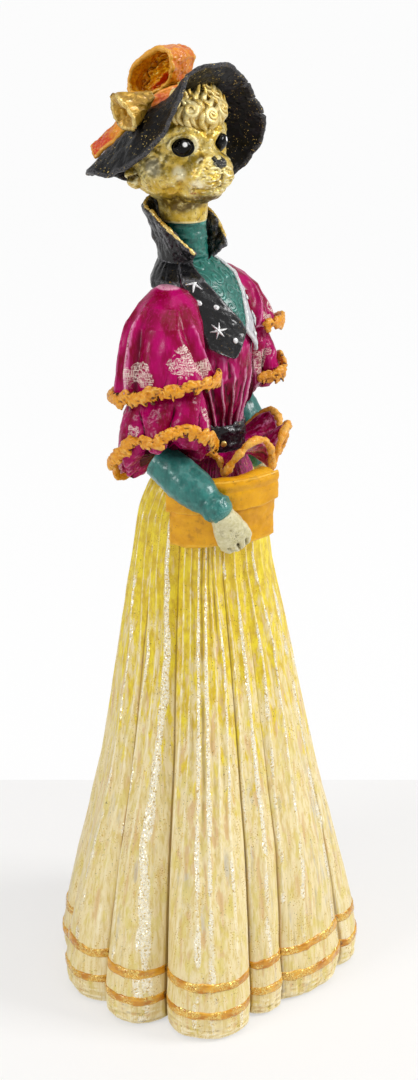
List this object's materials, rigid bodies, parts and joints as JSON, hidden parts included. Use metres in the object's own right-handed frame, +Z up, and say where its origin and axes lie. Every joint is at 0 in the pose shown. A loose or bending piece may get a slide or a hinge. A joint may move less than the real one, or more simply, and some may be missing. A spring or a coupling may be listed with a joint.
{
  "type": "cat figurine",
  "caption": "Standing lady cat figurine in a long pleated skirt, frilled jacket and brimmed hat with bows, holding a bag at its hip.",
  "frame": {"origin": "middle of the felt underside, on the axis of the waist dowel", "axes": "+Z up the figure, -Y towards its front, +X towards its left hand"},
  "size_m": [0.1148, 0.1082, 0.3492],
  "materials": {
    "felt": "short felt",
    "board": "plain sawn",
    "dowel_wood": "plain turned",
    "pin_steel": "plain",
    "skirt_paint": "cast resin under worn cream and gold leaf paint",
    "gold_band_paint": "amber gold glitter paint on resin",
    "jacket_paint": "magenta satin paint, worn to pink and cream on high places",
    "braid_paint": "ochre paint with dark crevices",
    "black_paint": "black satin paint with gold specks",
    "grey_paint": "pale grey satin paint",
    "silver_paint": "silver paint on resin",
    "teal_paint": "teal satin paint with embossed scrolls",
    "bag_paint": "amber yellow gloss paint",
    "gold_leaf": "cast resin under gold leaf with brown patina",
    "paw_paint": "ivory paint with a grey wash",
    "eye_gloss": "high gloss black",
    "orange_paint": "orange and gold satin paint"
  },
  "bodies": {
    "root": {"felt_pad": "felt", "base_plate": "board", "skirt": "skirt_paint", "hem_band_lower": "gold_band_paint", "hem_band_upper": "gold_band_paint", "waist_dowel": "dowel_wood", "neck_pin": "pin_steel", "bodice": "jacket_paint", "belt": "black_paint", "belt_stud": "gold_leaf", "blouse_neck": "teal_paint", "blouse_panel": "teal_paint", "collar": "black_paint", "collar_piping": "gold_leaf", "lapel_right": "black_paint", "lapel_left": "grey_paint", "silver_ornaments": "silver_paint", "peplum": "jacket_paint", "peplum_braid": "braid_paint", "sleeve_right": "jacket_paint", "sleeve_left": "jacket_paint", "sleeve_braid_right": "braid_paint", "sleeve_braid_left": "braid_paint", "flounce_right": "jacket_paint", "flounce_left": "jacket_paint", "flounce_braid_right": "braid_paint", "flounce_braid_left": "braid_paint", "forearm_right": "teal_paint", "forearm_left": "teal_paint", "paw_right": "paw_paint", "paw_left": "paw_paint", "bag_body": "bag_paint", "bag_flap": "bag_paint", "head": "gold_leaf", "eye_right": "eye_gloss", "eye_left": "eye_gloss", "nose": "black_paint", "ear_right": "gold_leaf", "ear_left": "gold_leaf", "brow_curls": "gold_leaf", "hat_brim": "black_paint", "hat_crown": "black_paint", "hat_band": "orange_paint", "bow_big_loop": "orange_paint", "bow_gold_loop": "gold_leaf", "bow_tail": "orange_paint"}
  },
  "joints": []
}
